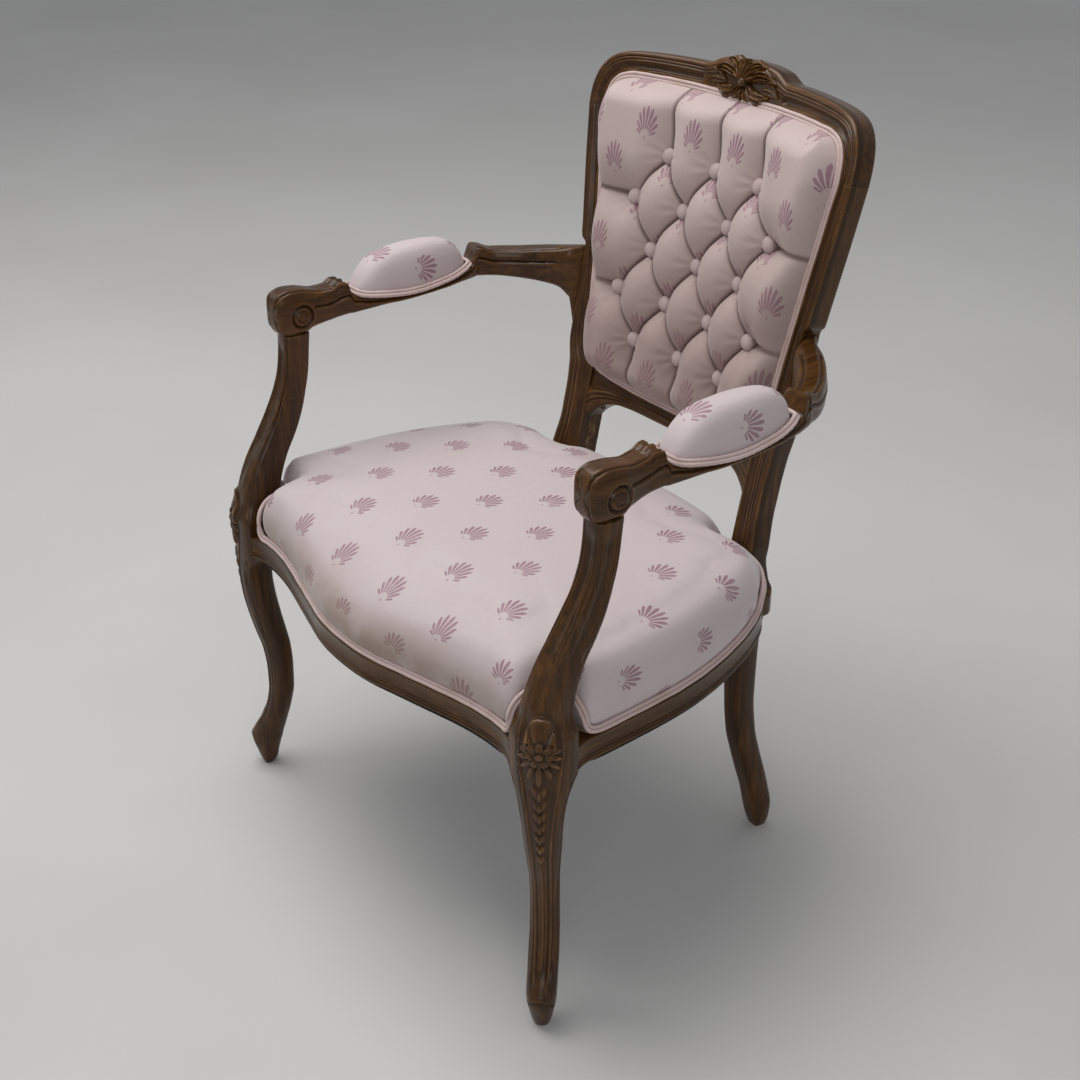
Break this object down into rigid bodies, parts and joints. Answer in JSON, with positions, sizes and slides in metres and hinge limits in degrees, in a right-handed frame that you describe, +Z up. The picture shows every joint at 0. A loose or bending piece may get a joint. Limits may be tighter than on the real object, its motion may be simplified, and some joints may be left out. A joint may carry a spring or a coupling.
{
  "type": "open armchair",
  "caption": "Carved show-wood armchair with curved legs, padded open arms, crowned seat and a deep buttoned, hollowed back.",
  "frame": {"origin": "on the floor, in the middle of the chair's box seen from above", "axes": "+X to the right of a person looking at the chair's front, +Y to the rear, +Z up; the chair faces -Y"},
  "size_m": [0.674, 0.6238, 0.948],
  "materials": {
    "frame_wood": "satin lacquer over dark walnut stain, worn edges",
    "block_wood": "bare sawn hardwood",
    "dowel_wood": "bare beech",
    "screw_steel": "plain steel",
    "jute_webbing": "woven jute",
    "burlap": "coarse woven jute",
    "foam": "firm polyurethane foam",
    "cover_fabric": "satin weave with woven fan sprigs",
    "plain_fabric": "plain satin weave",
    "welt_cord": "covered cord, slightly worn",
    "dust_fabric": "thin black cloth"
  },
  "bodies": {
    "root": {"front_post_left": "frame_wood", "front_post_right": "frame_wood", "rear_post_left": "frame_wood", "rear_post_right": "frame_wood", "front_seat_rail": "frame_wood", "side_seat_rail_left": "frame_wood", "side_seat_rail_right": "frame_wood", "rear_seat_rail": "frame_wood", "crest_rail": "frame_wood", "crest_carving": "frame_wood", "lower_back_rail": "frame_wood", "arm_left": "frame_wood", "arm_right": "frame_wood", "corner_blocks": "block_wood", "seat_rail_dowels": "dowel_wood", "back_frame_dowels": "dowel_wood", "arm_dowels": "dowel_wood", "corner_block_screws": "screw_steel", "seat_webbing_lengthwise": "jute_webbing", "seat_webbing_crosswise": "jute_webbing", "back_webbing": "jute_webbing", "seat_burlap": "burlap", "back_burlap": "burlap", "seat_foam": "foam", "back_foam": "foam", "arm_pad_foam_left": "foam", "arm_pad_foam_right": "foam", "seat_cover": "cover_fabric", "back_cover": "cover_fabric", "back_buttons": "cover_fabric", "arm_pad_cover_left": "cover_fabric", "arm_pad_cover_right": "cover_fabric", "outside_back_cover": "plain_fabric", "seat_welt": "welt_cord", "back_welt": "welt_cord", "outside_back_welt": "welt_cord", "arm_pad_welt_left": "welt_cord", "arm_pad_welt_right": "welt_cord", "dust_cover": "dust_fabric"}
  },
  "joints": []
}
